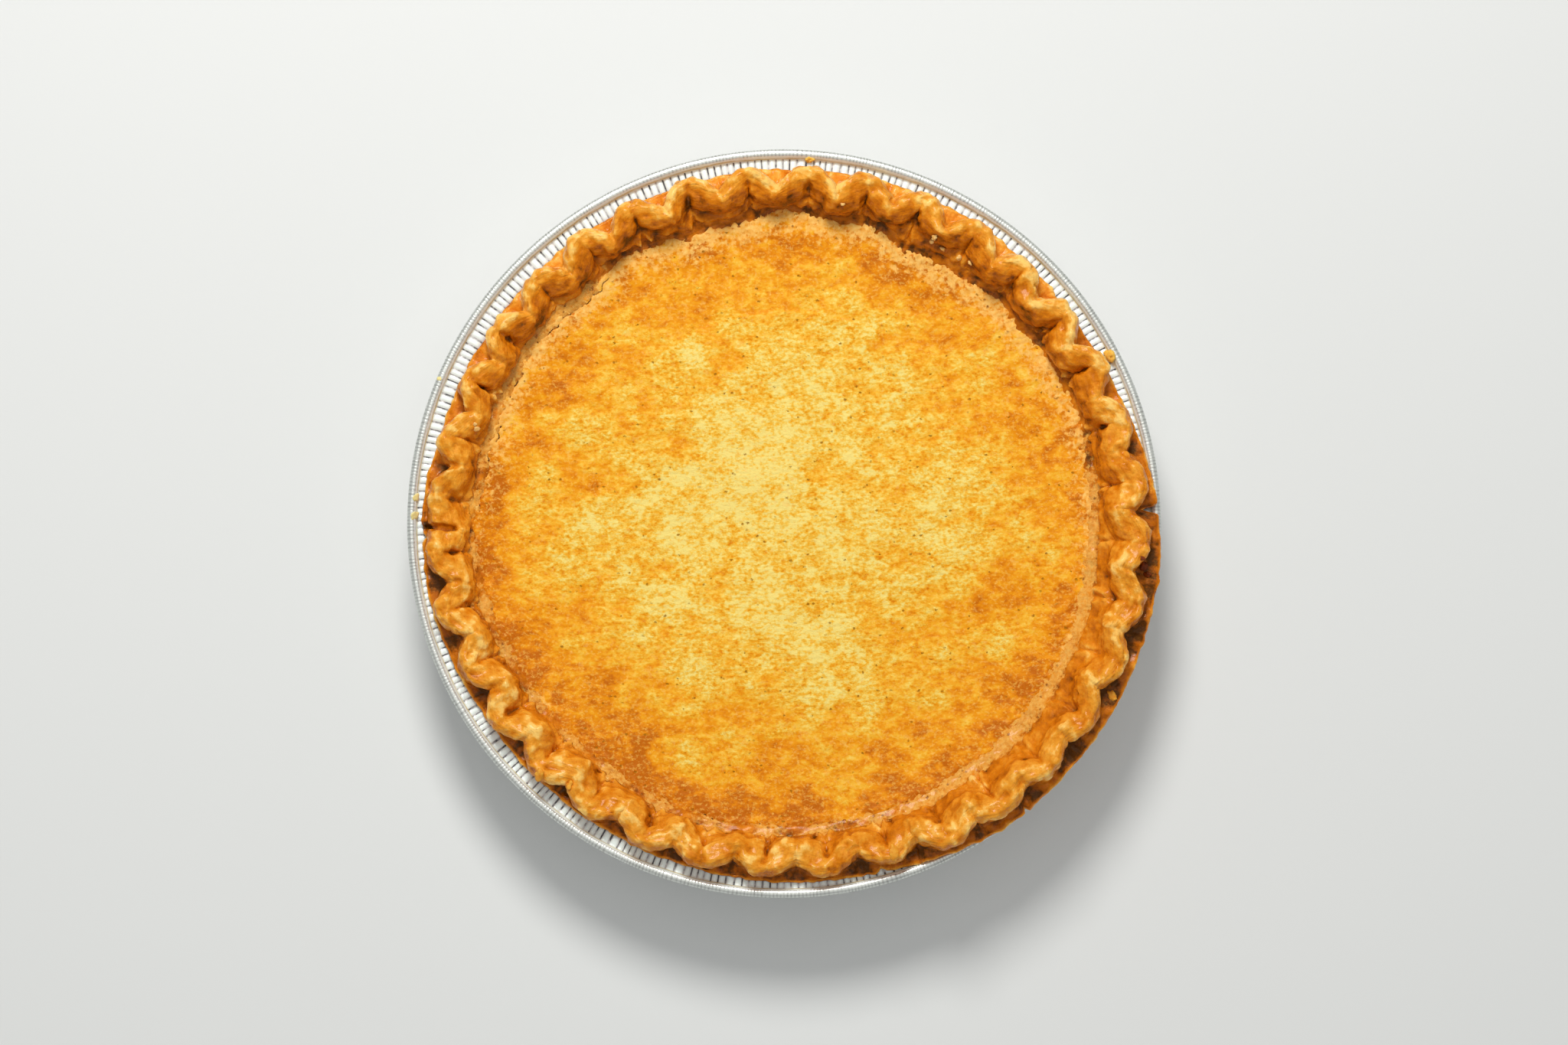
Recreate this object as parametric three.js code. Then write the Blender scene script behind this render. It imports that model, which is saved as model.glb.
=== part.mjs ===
// A whole chess pie in its own foil pan: the ribbed pan, the fluted pastry shell and the set filling.
// Millimetres, +Z up. The origin is the centre of the pan's flat underside, on the surface it rests on.
// Angles run anticlockwise from +X, seen from above.
import * as THREE from "three";

// Foil pan, with a rolled bead round its rim.
const RIM_RADIUS = 116;
const RIM_HEIGHT = 35;
const BEAD_RADIUS = 1.7;
const BEAD_DIRECTIONS = [-60, 0, 45, 90, 150];
const BASE_RADIUS = 89;
const BASE_CORNER = 1.2;
const SHEET = 0.6;
const RIBS = 88;
const RIB_DEPTH = 0.35;

// Clearance between two pieces that lie against each other.
const GAP = 0.35;

// Pastry shell. It has slumped over the rim on one side, so its rim is off centre there and higher.
const SLUMP_ANGLE = 330;
const SLUMP = 2.8;
const LEDGE_RADIUS = 111.4;
const LEDGE_SLUMP = 3.6;
const LEDGE_STRETCH = 1.2;
const LEDGE_THICKNESS = 2.4;
const FLOOR_THICKNESS = 4;
const FLOOR_RADIUS = 85.5;

// Flutes: a standing ridge that folds in and out, with a pocket outside and a tongue inside each fold.
const FLUTES = 36;
const COLUMNS_PER_FLUTE = 8;
const FIRST_POCKET = 1.2;
const RIDGE_HEIGHT = 7.6;
const POCKET_RADIUS = 106.4;
const PEAK_RADIUS = 111;
const CREST_AT_POCKET = 103.6;
const CREST_AT_PEAK = 107.9;
const TONGUE_RADIUS = 99.6;
const CREASE_RADIUS = 104.4;
const CREST_HALF_WIDTH = 2;
const SHOULDER_DROP = 1.2;
const TONGUE_DROP = 4;
const RIDGE_UNEVENNESS = 0.5;

// One flute burst in baking and stands lower than the rest.
const BURST_ANGLE = 178.5;
const BURST_WIDTH = 4;
const BURST_DROP = 2.2;

// Filling: a set sheet with a low sandy edge, dished a little toward its middle.
const FILLING_COLUMNS = 72;
const FILLING_RADIUS = 95.6;
const FILLING_HEIGHT = 31;
const EDGE_RISE = 1;
const DISH_DEPTH = 1.2;
const FILLING_WAVE = 0.35;
const SHRINK_ANGLE = 96;
const SHRINK_WIDTH = 28;
const SHRINK = 2;
const FILLING_RINGS = [0.975, 0.93, 0.86, 0.74, 0.6, 0.45, 0.3, 0.15];

const TURN = 2 * Math.PI;
const radians = (degrees) => (degrees * Math.PI) / 180;
const mix = (a, b, share) => a + (b - a) * share;
const point = (radius, height) => new THREE.Vector2(radius, height);

// Degrees between an angle and a middle one, the short way round.
function awayFrom(degrees, middle) {
  return ((((degrees - middle) % 360) + 540) % 360) - 180;
}

// A smooth swelling that is 1 at the middle angle and fades over the width.
function swelling(degrees, middle, width) {
  const share = awayFrom(degrees, middle) / width;
  return Math.exp(-share * share);
}

// How far an angle lies toward the slumped side: 1 there, -1 opposite.
const slumpSide = (degrees) => Math.cos(radians(degrees - SLUMP_ANGLE));

// A repeatable draw between -1 and 1 for each whole number.
function draw(index, series) {
  const value = Math.sin(index * 12.9898 + series * 78.233) * 43758.5453;
  return 2 * (value - Math.floor(value)) - 1;
}

// Turns a profile round the axis, with the profile free to change from column to column.
function turned(columns, angleOf, profileAt) {
  const rows = profileAt(0).length;
  const geometry = new THREE.LatheGeometry(profileAt(0), columns);
  geometry.rotateX(Math.PI / 2);
  const position = geometry.getAttribute("position");
  for (let column = 0; column <= columns; column += 1) {
    const wrapped = column % columns;
    const angle = radians(angleOf(wrapped));
    profileAt(wrapped).forEach((at, row) => {
      position.setXYZ(column * rows + row, at.x * Math.cos(angle), at.x * Math.sin(angle), at.y);
    });
  }
  geometry.computeVertexNormals();
  return geometry;
}

// The pan's bead is a roll, and its wall a cone from the base corner to the roll.
const BEAD_CENTRE = point(RIM_RADIUS - BEAD_RADIUS, RIM_HEIGHT - BEAD_RADIUS);
const WALL_FOOT = point(BASE_RADIUS, BASE_CORNER);
const WALL_HEAD = point(RIM_RADIUS - 2 * BEAD_RADIUS, BEAD_CENTRE.y);
const WALL_SLOPE = (WALL_HEAD.x - WALL_FOOT.x) / (WALL_HEAD.y - WALL_FOOT.y);
const wallRadius = (height) => WALL_FOOT.x + (height - WALL_FOOT.y) * WALL_SLOPE;

function panProfile(column) {
  const rib = (column % 2 ? 1 : -1) * (RIB_DEPTH / 2);
  const sheetAcross = SHEET * Math.hypot(1, WALL_SLOPE);
  const outer = (height) => point(wallRadius(height) + rib, height);
  const inner = (height) => point(wallRadius(height) + rib - sheetAcross, height);
  const bead = (degrees) =>
    point(
      BEAD_CENTRE.x + BEAD_RADIUS * Math.cos(radians(degrees)),
      BEAD_CENTRE.y + BEAD_RADIUS * Math.sin(radians(degrees)),
    );
  return [
    point(0, 0),
    point(BASE_RADIUS - BASE_CORNER, 0),
    outer(BASE_CORNER),
    outer(BEAD_CENTRE.y - BEAD_RADIUS),
    ...BEAD_DIRECTIONS.map(bead),
    inner(BEAD_CENTRE.y - 0.4 * BEAD_RADIUS),
    inner(BASE_CORNER + SHEET),
    point(BASE_RADIUS - BASE_CORNER - SHEET, SHEET),
    point(0, SHEET),
  ];
}

// The lowest that pastry can lie at a radius: clear of the wall's inner face, then of the bead.
function clearHeight(radius) {
  const inset = SHEET * Math.hypot(1, WALL_SLOPE) + RIB_DEPTH / 2 + GAP * Math.hypot(1, WALL_SLOPE);
  const overWall = WALL_FOOT.y + (radius + inset - WALL_FOOT.x) / WALL_SLOPE;
  const reach = BEAD_RADIUS + 2 * GAP;
  const across = Math.min(radius - BEAD_CENTRE.x, 0);
  const overBead = BEAD_CENTRE.y + Math.sqrt(Math.max(reach * reach - across * across, 0));
  return radius > BEAD_CENTRE.x - reach ? Math.max(Math.min(overWall, overBead), overBead) : overWall;
}

// Edge of the filling, which shrank from the pastry along one stretch.
function fillingRadius(degrees) {
  const shrunk = SHRINK * swelling(degrees, SHRINK_ANGLE, SHRINK_WIDTH);
  const wander = 0.5 * Math.sin(radians(5 * degrees)) + 0.35 * Math.sin(radians(11 * degrees + 40));
  return FILLING_RADIUS + 1.2 * slumpSide(degrees) - shrunk + wander;
}

// The pockets drift from an even spacing by about a degree along two stretches.
function fluteAngle(flute) {
  const even = FIRST_POCKET + (flute * 360) / FLUTES;
  return even + 1.1 * swelling(even, 290, 28) - 0.9 * swelling(even, 208, 25);
}

const floorTop = SHEET + GAP + FLOOR_THICKNESS;

function crustProfile(column) {
  const flute = column / COLUMNS_PER_FLUTE;
  const degrees = fluteAngle(flute);
  const side = slumpSide(degrees);
  // Pocketness is 1 in the middle of a pocket and 0 at the peak between two pockets.
  const pocketness = Math.abs(2 * (flute - Math.floor(flute)) - 1);
  const sharpPocket = 1 - Math.cos((pocketness * Math.PI) / 2);
  const sharpCrease = Math.sin((pocketness * Math.PI) / 2);
  const shift = SLUMP * side + RIDGE_UNEVENNESS * draw(Math.round(flute) % FLUTES, 1) * pocketness;

  const stretch = LEDGE_STRETCH * Math.cos(radians(2 * (degrees - SLUMP_ANGLE)));
  const ledgeRadius = LEDGE_RADIUS + LEDGE_SLUMP * side + stretch;
  const ledgeTop = clearHeight(ledgeRadius) + LEDGE_THICKNESS;
  const burst = BURST_DROP * swelling(degrees, BURST_ANGLE, BURST_WIDTH);
  const uneven = RIDGE_UNEVENNESS * draw(Math.floor(flute), 2) * (1 - pocketness);
  const crestHeight = ledgeTop + RIDGE_HEIGHT + uneven - burst;

  const peak = Math.min(PEAK_RADIUS + SLUMP * side, ledgeRadius - 0.4);
  const footRadius = Math.min(mix(peak, POCKET_RADIUS + shift, sharpPocket), ledgeRadius - 0.4);
  const crestRadius = mix(CREST_AT_PEAK, CREST_AT_POCKET, (sharpPocket + sharpCrease) / 2) + shift;
  const innerRadius = mix(CREASE_RADIUS, TONGUE_RADIUS, sharpCrease) + shift;
  const edge = fillingRadius(degrees) + GAP;
  const edgeHeight = FILLING_HEIGHT + EDGE_RISE;

  const under = (share) => {
    const radius = mix(BASE_RADIUS + 16, ledgeRadius, share);
    return point(radius, clearHeight(radius));
  };
  return [
    point(0, SHEET + GAP),
    point(BASE_RADIUS - BASE_CORNER - SHEET - 2 * GAP, SHEET + GAP),
    under(0),
    under(0.64),
    under(0.82),
    under(1),
    point(ledgeRadius - 0.2, ledgeTop - 0.5),
    point(footRadius, ledgeTop),
    point(Math.min(crestRadius + CREST_HALF_WIDTH, footRadius - 0.3), crestHeight - SHOULDER_DROP),
    point(crestRadius, crestHeight),
    point(crestRadius - CREST_HALF_WIDTH, crestHeight - SHOULDER_DROP),
    point(innerRadius, crestHeight - TONGUE_DROP),
    point(edge + 0.5, edgeHeight + 0.4),
    point(FLOOR_RADIUS, floorTop),
    point(0, floorTop),
  ];
}

function fillingProfile(column) {
  const degrees = (column * 360) / FILLING_COLUMNS;
  const edge = fillingRadius(degrees);
  const top = (share) => {
    const dish = DISH_DEPTH * (1 - share ** 4);
    const rise = EDGE_RISE * share ** 12;
    const wave = FILLING_WAVE * Math.sin(radians(3 * degrees + 70)) * Math.sin(Math.PI * share);
    return point(edge * share, FILLING_HEIGHT - dish + rise + wave);
  };
  return [
    point(0, floorTop + GAP),
    point(FLOOR_RADIUS - 2 * GAP, floorTop + GAP),
    point(edge - GAP, FILLING_HEIGHT - EDGE_RISE),
    ...FILLING_RINGS.map(top),
    point(0, FILLING_HEIGHT - DISH_DEPTH),
  ];
}

function named(name, geometry, material) {
  const mesh = new THREE.Mesh(geometry, new THREE.MeshStandardMaterial(material));
  mesh.name = name;
  return mesh;
}

const pieTurn = (columns) => (column) => (column * 360) / columns;
const pie = new THREE.Group();

pie.add(
  named(
    "foil_pan",
    turned(2 * RIBS, pieTurn(2 * RIBS), panProfile),
    { color: 0xc9cacc, metalness: 1, roughness: 0.3 },
  ),
  named(
    "pie_crust",
    turned(FLUTES * COLUMNS_PER_FLUTE, (column) => fluteAngle(column / COLUMNS_PER_FLUTE), crustProfile),
    { color: 0xcf8a34, metalness: 0, roughness: 0.5 },
  ),
  named(
    "chess_filling",
    turned(FILLING_COLUMNS, pieTurn(FILLING_COLUMNS), fillingProfile),
    { color: 0xf3b548, metalness: 0, roughness: 0.55 },
  ),
);

export default pie;
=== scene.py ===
import math

import bmesh
import bpy
from mathutils import Matrix, Vector, noise


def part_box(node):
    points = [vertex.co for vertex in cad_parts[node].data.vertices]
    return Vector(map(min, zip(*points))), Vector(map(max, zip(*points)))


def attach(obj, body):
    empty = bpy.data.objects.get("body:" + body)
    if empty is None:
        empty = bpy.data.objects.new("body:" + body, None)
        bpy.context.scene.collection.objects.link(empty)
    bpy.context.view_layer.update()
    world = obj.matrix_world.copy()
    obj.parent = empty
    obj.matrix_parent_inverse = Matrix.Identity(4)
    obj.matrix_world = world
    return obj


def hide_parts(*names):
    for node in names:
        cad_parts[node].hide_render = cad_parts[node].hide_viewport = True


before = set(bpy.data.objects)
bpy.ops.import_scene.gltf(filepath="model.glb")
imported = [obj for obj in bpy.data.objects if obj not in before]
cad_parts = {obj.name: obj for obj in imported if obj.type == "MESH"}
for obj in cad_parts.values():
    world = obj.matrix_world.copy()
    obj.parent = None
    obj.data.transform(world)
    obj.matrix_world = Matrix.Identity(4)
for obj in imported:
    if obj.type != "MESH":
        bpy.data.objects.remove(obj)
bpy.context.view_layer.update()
print("frame loaded:", ", ".join(sorted(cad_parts)))

# Lengths are millimetres until a mesh is placed, and angles run anticlockwise from +X, seen from above.
mm = 0.001
degreesPerRadian = 57.3
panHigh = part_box("foil_pan")[1]

pan = {
    "rimRadius": panHigh.x / mm,
    "rimHeight": panHigh.z / mm,
    "rollRadius": 1.05,  # what the pastry keeps clear of
    "rollAcross": 1.3,
    "rollUp": 0.8,
    "flangeStart": 108.9,
    "flangeHeight": 32.7,
    "baseRadius": 89.0,
    "baseCorner": 1.2,
    "sheet": 0.6,
    "ribs": 316,
    "columnsPerRib": 6,
    "ribDepth": 0.42,
    "ribWander": 0.6,  # share of a rib that the pleats stray sideways
    "knurl": 0.09,
    "knurlTurn": 2.6,  # radians from one column to the next
    "rimInset": 0.03,  # keeps the knurled roll inside the solid's rim
    "dents": 0.25,
    "wallHeights": (1.2, 3, 8, 14, 20, 26, 30.5),
    "insideHeights": (31, 28, 23, 17, 11, 5, 2.4),
}

# A line round the rim is a base radius and its bulges, each as (angle, width in degrees, amount).
crust = {
    "ledge": (
        108.6, (326, 38, 8.0), (0, 18, 3.2), (303, 10, 1.6), (190, 18, 2.8), (235, 32, 0.8), (270, 22, 1.4),
        (66, 30, 1.6), (96, 4, 0.8), (176, 6, 1.0),
    ),
    "peak": (
        109.5, (328, 32, 4.4), (300, 12, 1.5), (8, 18, 1.4), (147, 18, -1.6), (187, 12, 0.9), (68, 30, 1.0),
    ),
    "pocket": (
        104.6, (320, 24, 5.6), (303, 9, 2.2), (354, 20, 3.2), (18, 7, 1.3), (156, 18, -1.8), (265, 25, 1.3),
    ),
    "creaseEnd": (105.8, (325, 35, 2.6), (150, 30, -1.4), (220, 40, -1.0)),
    "tongue": (97.4, (328, 26, 5.4), (307, 12, 1.4), (60, 35, 0.6), (152, 28, -1.0), (222, 26, -2.6)),
    "notchRise": 3.6,  # the notches between the tongues stay this far behind them
    "ledgeThickness": 1.7,
    "ledgeRagged": 0.4,
    "floorThickness": 4.0,
    "floorRadius": 85.5,
    "flutes": 36,
    "columnsPerFlute": 30,
    "crowding": 0.45,  # how far the columns draw together at pockets and creases
    "firstPocket": 1.2,
    "ridgeHeight": 7.6,
    "outerRound": 2.8,
    "innerRound": 3.6,
    "inwardFall": 0.3,  # how steeply the lobes fall towards the filling
    "creaseDepth": 3.0,
    "creaseWidth": 2.6,
    "valleyDepth": 0.9,
    "valleyWidth": 2.3,
    "twoArmed": (145, 26),  # the folds there are two arms with a valley between them, and no bulge
    "tongueBulge": 0.9,
    "bulgeWidth": 3.4,
    "darkLedge": (335, 45),
    "webs": 1.0,
    "webWidth": 0.11,
    "tuck": 0.7,  # how far the pastry goes back under the tongues
    "sandHeight": 1.4,  # the crumbs' strip above the filling
    "unevenness": 0.7,
    "lumps": 0.85,
    "wrinkles": 0.45,
    "lean": 2.6,
    "burst": (178.5, 4.0),  # where a fold has burst and sunk
    "burstDrop": 2.2,
    "closedPockets": (18,),  # pockets that are pressed shut, counted from the first
    "crackAngle": 181.0,
    "crackWidth": 0.55,
    "crackStart": 100,
    "crackDepth": 2.4,
    # where the ledge is split through: angle, width in degrees, depth
    "splits": ((1.6, 0.5, 5.0), (309.5, 0.22, 2.4), (285.6, 0.6, 1.6), (182.6, 0.6, 1.6)),
}

filling = {
    "segments": 296,
    "crowding": 0.7,  # below 1 the rows of the mesh draw together towards the edge
    "sideHeight": 28.6,
    "edge": (
        95.8, (21.5, 6, 2.2), (33, 5, 1.1), (46.5, 3.5, 0.9), (61, 7, -1.5), (67, 2.4, -2.2), (74, 4, 1.3),
        (89, 5, 2.6), (101, 6, -1.2), (108.6, 2.2, -2.2), (121, 3.5, 1.3), (131, 5, -1.8), (165, 8, -1.0),
        (182, 4, 1.6), (206, 8, -1.0), (219, 8, -1.6), (235, 9, -2.6), (281, 14, -0.5), (355, 8, -1.0),
    ),
    "height": 31.0,
    "edgeRise": 1.0,
    "dishDepth": 1.2,
    "wave": 0.35,
    "gap": 0.35,
    "ragged": 2.0,
    "drawnBack": ((60, 40), (98, 26)),  # where it has drawn back from the pastry
    "cracked": ((160, 40, 1), (258, 18, 1), (300, 22, 0.5)),
    "crackDepth": 0.6,
    "brownEdge": (358, 22),
    "plateauRadius": 66.5,
    "plateauRise": 0.4,
    "patchDepth": 0.45,  # how strongly the toasted patches show
}


def mix(a, b, share):
    return a + (b - a) * share


def smoothStep(low, high, value):
    share = min(max((value - low) / (high - low), 0.0), 1.0)
    return share * share * (3 - 2 * share)


def awayFrom(degrees, middle):
    return (degrees - middle + 180) % 360 - 180


# 1 at the middle angle, fading over the width
def swelling(degrees, middle, width):
    return math.exp(-((awayFrom(degrees, middle) / width) ** 2))


# the radius of a line round the rim
def rimLine(line, degrees):
    base, *bulges = line
    return base + sum(amount * swelling(degrees, angle, width) for angle, width, amount in bulges)


# a repeatable draw between -1 and 1 for each whole number
def draw(index, series):
    value = math.sin(index * 12.9898 + series * 78.233) * 43758.5453
    return 2 * (value - math.floor(value)) - 1


# soft noise, about -1 to 1, with lumps of the given size
def lump(x, y, z, size):
    return noise.noise(Vector((x / size, y / size, z / size)))


# the same along the rim only, by angle, with lumps of the given width in degrees
def rimLump(degrees, width, series):
    angle = math.radians(degrees)
    reach = degreesPerRadian / width
    return noise.noise(Vector((reach * math.cos(angle), reach * math.sin(angle), 7.3 * series)))


rollX = pan["rimRadius"] - pan["rollRadius"]
rollZ = pan["rimHeight"] - pan["rollRadius"]
lipX = pan["rimRadius"] - 2 * pan["rollAcross"] - 0.1  # where the flange turns up into the roll
wallTopZ = pan["flangeHeight"] - pan["sheet"]
wallSlope = (pan["flangeStart"] - pan["baseRadius"]) / (wallTopZ - pan["baseCorner"])
wallAcross = math.hypot(1, wallSlope)  # a wall's thickness measured level


def wallRadius(height):
    return pan["baseRadius"] + (height - pan["baseCorner"]) * wallSlope


# the lowest that pastry can lie at a radius: clear of the wall, then of the flange, then of the rolled rim
def clearHeight(radius):
    inset = (pan["sheet"] + filling["gap"]) * wallAcross + 0.3
    reach = pan["rollRadius"] + 2 * filling["gap"]
    overWall = pan["baseCorner"] + (radius + inset - pan["baseRadius"]) / wallSlope
    overFlange = pan["flangeHeight"] + filling["gap"]
    across = min(radius - rollX, 0)
    if across < -reach:
        return min(overWall, overFlange)
    return max(overFlange, rollZ + math.sqrt(max(reach * reach - across * across, 0)))


def fillingEdge(degrees):
    return rimLine(filling["edge"], degrees)


# 1 where the filling has drawn back from the pastry
def drawnBack(degrees):
    return max(swelling(degrees, middle, width) for middle, width in filling["drawnBack"])


# the level of the filling along its edge, which is higher where it still clings to the pastry
def edgeLevel(degrees):
    return filling["height"] + filling["edgeRise"] * mix(1, 0.5, drawnBack(degrees))


def fluteAngle(flute):
    even = crust["firstPocket"] + flute * 360 / crust["flutes"]
    return even + 1.1 * swelling(even, 290, 28) - 0.9 * swelling(even, 208, 25)


# A curve through the points, with its own number of steps in each span. Extra values are mixed evenly.
def roundedLine(points, steps):
    line = []
    last = len(points) - 1
    for span, count in enumerate(steps):
        p0, p1 = points[max(span - 1, 0)], points[span]
        p2, p3 = points[span + 1], points[min(span + 2, last)]
        for step in range(count):
            t = step / count
            place = []
            for a, b, c, d in zip(p0[:2], p1[:2], p2[:2], p3[:2]):
                bent = (2 * a - 5 * b + 4 * c - d) * t * t + (3 * b - a - 3 * c + d) * t ** 3
                place.append(0.5 * (2 * b + (c - a) * t + bent))
            if count == 1:
                place = list(p1[:2])
            line.append(place + [mix(b, c, t) for b, c in zip(p1[2:], p2[2:])])
    line.append(list(points[-1]))
    return line


# Rolls a flat grid into a ring round the axis: each column takes its own section, each row a point of it.
# sectionAt(column) gives (radius, height, extra values...) row by row, angleAt(column) its angle.
def rolledRing(sectionAt, angleAt, columns, extras):
    sections = [sectionAt(column) for column in range(columns)]
    angles = [math.radians(angleAt(column)) for column in range(columns)]
    rows = len(sections[0])
    bm = bmesh.new()
    rowLayer = bm.verts.layers.int.new("row")
    extraLayers = [bm.verts.layers.float.new(name) for name in extras]
    bmesh.ops.create_grid(bm, x_segments=rows - 1, y_segments=columns, size=1)
    seam, poles = [], ([], [])
    for vert in bm.verts:
        row = round((vert.co.x + 1) / 2 * (rows - 1))
        step = round((vert.co.y + 1) / 2 * columns)
        values, angle = sections[step % columns][row], angles[step % columns]
        vert.co = (values[0] * math.cos(angle), values[0] * math.sin(angle), values[1])
        vert[rowLayer] = row
        for layer, value in zip(extraLayers, values[2:]):
            vert[layer] = value
        if row in (0, rows - 1):
            poles[0 if row == 0 else 1].append(vert)
        elif step in (0, columns):
            seam.append(vert)
    bmesh.ops.remove_doubles(bm, verts=seam, dist=0.001)
    for pole in poles:
        bmesh.ops.pointmerge(bm, verts=pole, merge_co=(0, 0, pole[0].co.z))
    bmesh.ops.recalc_face_normals(bm, faces=bm.faces)
    return bm, rowLayer, extraLayers


def placed(bm, name, node, material):
    bmesh.ops.scale(bm, vec=(mm, mm, mm), verts=bm.verts)
    mesh = bpy.data.meshes.new(name)
    for face in bm.faces:
        face.smooth = True
    bm.to_mesh(mesh)
    bm.free()
    mesh.materials.append(material)
    piece = bpy.data.objects.new(name, mesh)
    bpy.context.collection.objects.link(piece)
    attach(piece, "root")
    if node:
        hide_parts(node)
    print(name, "made:", sum(len(face.vertices) - 2 for face in mesh.polygons), "triangles")
    return piece


# a colour as it is picked on screen, 0 to 255
def tone(red, green, blue):
    def linear(value):
        share = value / 255
        return share / 12.92 if share <= 0.04045 else ((share + 0.055) / 1.055) ** 2.4
    return (linear(red), linear(green), linear(blue), 1.0)


# short names for the shader nodes of one tree
class NodeMaker:
    def __init__(self, tree, coordinates="Object"):
        self.tree = tree
        self.place = tree.nodes.new("ShaderNodeTexCoord").outputs[coordinates]

    def join(self, value, socket):
        if isinstance(value, bpy.types.NodeSocket):
            self.tree.links.new(value, socket)
        else:
            socket.default_value = value

    def attribute(self, name):
        made = self.tree.nodes.new("ShaderNodeAttribute")
        made.attribute_name = name
        return made.outputs["Fac"]

    def parts(self, vector):
        made = self.tree.nodes.new("ShaderNodeSeparateXYZ")
        self.join(vector, made.inputs[0])
        return made.outputs

    # object coordinates, scaled evenly by one number or along each axis by three
    def stretched(self, scale, turn=0.0):
        made = self.tree.nodes.new("ShaderNodeMapping")
        self.join(self.place, made.inputs["Vector"])
        made.inputs["Scale"].default_value = scale if isinstance(scale, tuple) else (scale, scale, scale)
        made.inputs["Rotation"].default_value = (0, 0, math.radians(turn))
        return made.outputs["Vector"]

    def noiseAt(self, vector, detail, roughness, warp):
        made = self.tree.nodes.new("ShaderNodeTexNoise")
        self.join(vector, made.inputs["Vector"])
        made.inputs["Scale"].default_value = 1.0
        made.inputs["Detail"].default_value = detail
        made.inputs["Roughness"].default_value = roughness
        made.inputs["Distortion"].default_value = warp
        return made.outputs["Fac"]

    def grain(self, scale, detail=4.0, roughness=0.6, turn=0.0, warp=0.0):
        return self.noiseAt(self.stretched(scale, turn), detail, roughness, warp)

    def math(self, operation, first, second=0.0, clamp=False):
        made = self.tree.nodes.new("ShaderNodeMath")
        made.operation = operation
        made.use_clamp = clamp
        self.join(first, made.inputs[0])
        self.join(second, made.inputs[1])
        return made.outputs[0]

    # how far a value is from the middle of its unit, 0 to 0.5
    def fromMiddle(self, value):
        return self.math("ABSOLUTE", self.math("SUBTRACT", self.math("FRACT", value), 0.5))

    def span(self, value, low, high, toLow=0.0, toHigh=1.0):
        made = self.tree.nodes.new("ShaderNodeMapRange")
        self.join(value, made.inputs["Value"])
        made.inputs["From Min"].default_value = low
        made.inputs["From Max"].default_value = high
        made.inputs["To Min"].default_value = toLow
        made.inputs["To Max"].default_value = toHigh
        return made.outputs["Result"]

    # ragged holes in some of the cells: size and picked are the values between which each fades
    def holes(self, cells, grain, size, picked):
        made = self.tree.nodes.new("ShaderNodeTexVoronoi")
        self.join(self.stretched(cells), made.inputs["Vector"])
        made.inputs["Scale"].default_value = 1.0
        broken = self.span(self.grain(grain, 2), 0.3, 0.7, -0.12, 0.12)
        hole = self.span(self.math("ADD", made.outputs["Distance"], broken), *size, 1, 0)
        return self.math("MULTIPLY", hole, self.span(made.outputs["Color"], *picked))

    def ramp(self, value, stops):
        made = self.tree.nodes.new("ShaderNodeValToRGB")
        self.join(value, made.inputs["Fac"])
        elements = made.color_ramp.elements
        while len(elements) < len(stops):
            elements.new(0.5)
        for element, (position, colour) in zip(elements, stops):
            element.position = position
            element.color = colour
        return made.outputs["Color"]

    def blend(self, share, under, over):
        made = self.tree.nodes.new("ShaderNodeMix")
        made.data_type = "RGBA"
        self.join(share, made.inputs["Factor"])
        self.join(under, made.inputs[6])
        self.join(over, made.inputs[7])
        return made.outputs[2]

    def bump(self, height, strength, distance, under=None):
        made = self.tree.nodes.new("ShaderNodeBump")
        self.join(height, made.inputs["Height"])
        made.inputs["Strength"].default_value = strength
        made.inputs["Distance"].default_value = distance
        if under is not None:
            self.join(under, made.inputs["Normal"])
        return made.outputs["Normal"]


class Shading(NodeMaker):
    def __init__(self, name):
        self.material = bpy.data.materials.new(name)
        self.material.use_nodes = True
        super().__init__(self.material.node_tree)

    # sets or joins inputs of the surface, named with underscores for spaces
    def give(self, **sockets):
        surface = self.tree.nodes["Principled BSDF"]
        for name, value in sockets.items():
            self.join(value, surface.inputs[name.replace("_", " ")])
        return self.material


panColumns = pan["ribs"] * pan["columnsPerRib"]


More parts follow.
